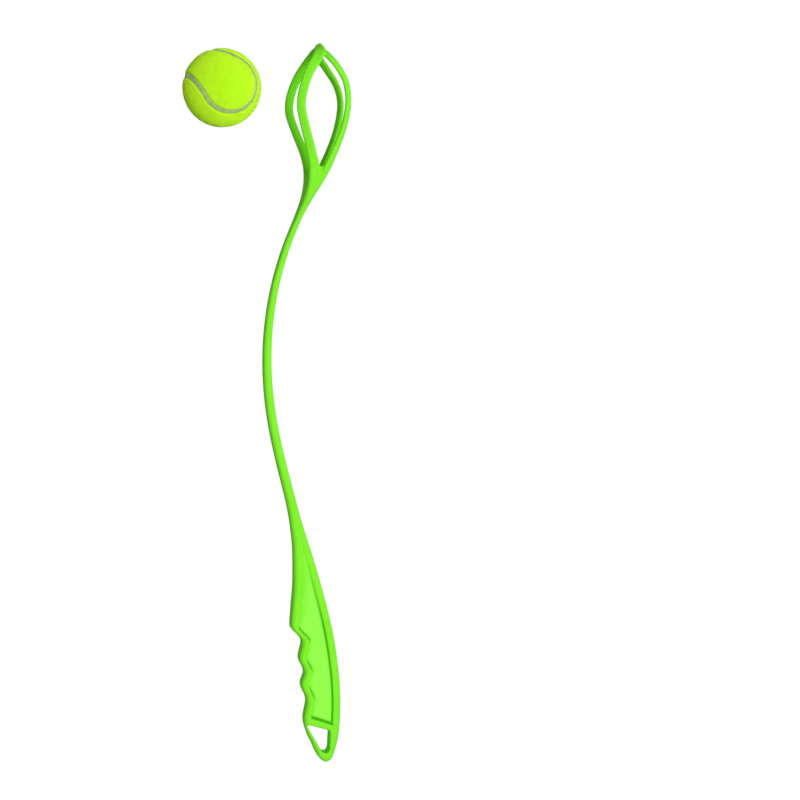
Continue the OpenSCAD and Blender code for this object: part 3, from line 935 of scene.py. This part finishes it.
def make_nap(name, felt, tree, seed, material):
    holder = bpy.data.objects.new(name + "_holder", felt.data)
    bpy.context.scene.collection.objects.link(holder)
    modifier = holder.modifiers.new("nap", "NODES")
    modifier.node_group = tree
    sockets = {item.name: item.identifier for item in tree.interface.items_tree if item.in_out == "INPUT"}
    modifier[sockets["Seed"]] = seed
    modifier[sockets["Material"]] = material
    evaluated = holder.evaluated_get(bpy.context.evaluated_depsgraph_get())
    mesh = bpy.data.meshes.new_from_object(evaluated)
    mesh.name = name
    holder.modifiers.clear()
    bpy.data.objects.remove(holder)
    piece = bpy.data.objects.new(name, mesh)
    bpy.context.scene.collection.objects.link(piece)
    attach(piece, "ball")


def placed_ball(p):
    """Points of the ball's own frame, turned and moved to where the ball has flown."""
    turn = np.array(Euler([math.radians(a) for a in BALL_TURN]).to_matrix())
    return p @ turn.T + SEAT - [BALL_TRAVEL, 0, 0]


def make_ball():
    box = lattice(*BALL_SPAN, BALL_CELL)
    felt = ball_felt()
    tree = nap_tree()
    for seed, (name, side) in enumerate((("felt_panel_a", 1), ("felt_panel_b", -1)), 1):
        places, quads = skin_of(felt_field(side), box, box, box)
        piece = mesh_piece("ball_" + name, placed_ball(places), quads, felt)
        outer = np.linalg.norm(places, axis=1) > FELT_R - NAP_MARGIN
        point_values(piece, "nap", outer)
        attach(piece, "ball")
        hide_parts(name)
        make_nap("ball_nap" + name[-2:], piece, tree, seed, felt)
    places, quads = skin_of(seam_field, box, box, box)
    seam = mesh_piece("ball_seam_line", placed_ball(places), quads, seam_cement())
    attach(seam, "ball")
    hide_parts("ball_seam")
    rubber = core_rubber()
    for name in ("ball_core_half_a", "ball_core_half_b"):
        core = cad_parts[name]
        core.data.materials.clear()
        core.data.materials.append(rubber)


make_launcher()
make_ball()


# Floor, light and camera, in metres and watts

FLOOR_HALF = 6.0
FLOOR_HEIGHT = -0.6
FLOOR_GREY = (0.3, 0.3, 0.3, 1)
FLOOR_GLOW = 0.95
WHITE = (1, 1, 1, 1)
WORLD_LEVEL = 0.315
# Name, place, aim, size and power of each lamp
LAMPS = (
    ("key_light", (0.2, -2.1, 0.42), (0, 0, 0.25), 0.5, 27),
    ("grip_light", (-0.58, -0.46, -0.42), (0, 0, -0.04), 0.3, 1.0),
    ("side_light", (1.6, -1.3, 0.5), (0, 0, 0.25), 0.8, 9),
    ("rim_light", (1.3, 0.55, 0.75), (0, 0, 0.35), 0.4, 4.5),
)
# Way to the camera from the front and above, its distance, its focal length and picture width in pixels, and
# its sensor in millimetres
CAMERA_AZIMUTH = math.radians(-9.0)
CAMERA_ELEVATION = math.radians(2.3)
CAMERA_DISTANCE = 1.9
FOCAL_PX = 2267.0
PICTURE_PX = 800
SENSOR_MM = 36
# Point on the stick's axis that the camera is level with, and the picture's column where it shows
TARGET = Vector((0, 0, 0.2294))
TARGET_COLUMN = 320


def white_to_the_lens(tree, plain, white):
    """The white shader for camera, mirror and glass rays, and the plain one for light on the object."""
    paths = node(tree, "ShaderNodeLightPath")
    seen = node(tree, "ShaderNodeMath", operation="MAXIMUM")
    tree.links.new(paths.outputs["Is Camera Ray"], seen.inputs[0])
    tree.links.new(paths.outputs["Is Glossy Ray"], seen.inputs[1])
    through = node(tree, "ShaderNodeMath", operation="MAXIMUM")
    tree.links.new(seen.outputs[0], through.inputs[0])
    tree.links.new(paths.outputs["Is Transmission Ray"], through.inputs[1])
    mix = node(tree, "ShaderNodeMixShader")
    tree.links.new(through.outputs[0], mix.inputs[0])
    tree.links.new(plain, mix.inputs[1])
    tree.links.new(white, mix.inputs[2])
    return mix.outputs[0]


def make_floor():
    signs = ((-1, -1), (1, -1), (1, 1), (-1, 1))
    corners = [(x * FLOOR_HALF, y * FLOOR_HALF, FLOOR_HEIGHT) for x, y in signs]
    mesh = bpy.data.meshes.new("floor")
    mesh.from_pydata(corners, [], [(0, 1, 2, 3)])
    floor = bpy.data.objects.new("floor", mesh)
    bpy.context.scene.collection.objects.link(floor)
    material = bpy.data.materials.new("pale_floor")
    material.use_nodes = True
    tree = material.node_tree
    tree.nodes.clear()
    out = node(tree, "ShaderNodeOutputMaterial")
    matt = node(tree, "ShaderNodeBsdfDiffuse", in_0=FLOOR_GREY)
    glow = node(tree, "ShaderNodeEmission", in_1=FLOOR_GLOW)
    both = node(tree, "ShaderNodeAddShader")
    tree.links.new(matt.outputs[0], both.inputs[0])
    tree.links.new(glow.outputs[0], both.inputs[1])
    tree.links.new(white_to_the_lens(tree, matt.outputs[0], both.outputs[0]), out.inputs["Surface"])
    mesh.materials.append(material)


def make_world():
    world = bpy.data.worlds.new("studio")
    bpy.context.scene.world = world
    world.use_nodes = True
    tree = world.node_tree
    tree.nodes.clear()
    out = node(tree, "ShaderNodeOutputWorld")
    soft = node(tree, "ShaderNodeBackground", in_0=WHITE, in_1=WORLD_LEVEL)
    white = node(tree, "ShaderNodeBackground", in_0=WHITE, in_1=1.0)
    tree.links.new(white_to_the_lens(tree, soft.outputs[0], white.outputs[0]), out.inputs["Surface"])


def soft_light(name, place, aim, size, power):
    lamp = bpy.data.lights.new(name, "AREA")
    lamp.shape = "SQUARE"
    lamp.size = size
    lamp.energy = power
    light = bpy.data.objects.new(name, lamp)
    light.location = place
    light.rotation_mode = "QUATERNION"
    light.rotation_quaternion = (Vector(aim) - Vector(place)).to_track_quat("-Z", "Y")
    bpy.context.scene.collection.objects.link(light)


def make_camera():
    level = math.cos(CAMERA_ELEVATION)
    back = Vector((math.sin(CAMERA_AZIMUTH) * level, -math.cos(CAMERA_AZIMUTH) * level,
                   math.sin(CAMERA_ELEVATION)))
    right = Vector((math.cos(CAMERA_AZIMUTH), math.sin(CAMERA_AZIMUTH), 0))
    data = bpy.data.cameras.new("camera")
    data.sensor_width = SENSOR_MM
    data.lens = SENSOR_MM * FOCAL_PX / PICTURE_PX
    camera = bpy.data.objects.new("camera", data)
    camera.location = TARGET + CAMERA_DISTANCE * back
    aim = -back * FOCAL_PX + right * (PICTURE_PX / 2 - TARGET_COLUMN)
    camera.rotation_mode = "QUATERNION"
    camera.rotation_quaternion = aim.to_track_quat("-Z", "Y")
    bpy.context.scene.collection.objects.link(camera)
    bpy.context.scene.camera = camera


make_floor()
make_world()
for lamp in LAMPS:
    soft_light(*lamp)
make_camera()
bpy.context.scene.view_settings.view_transform = "Standard"
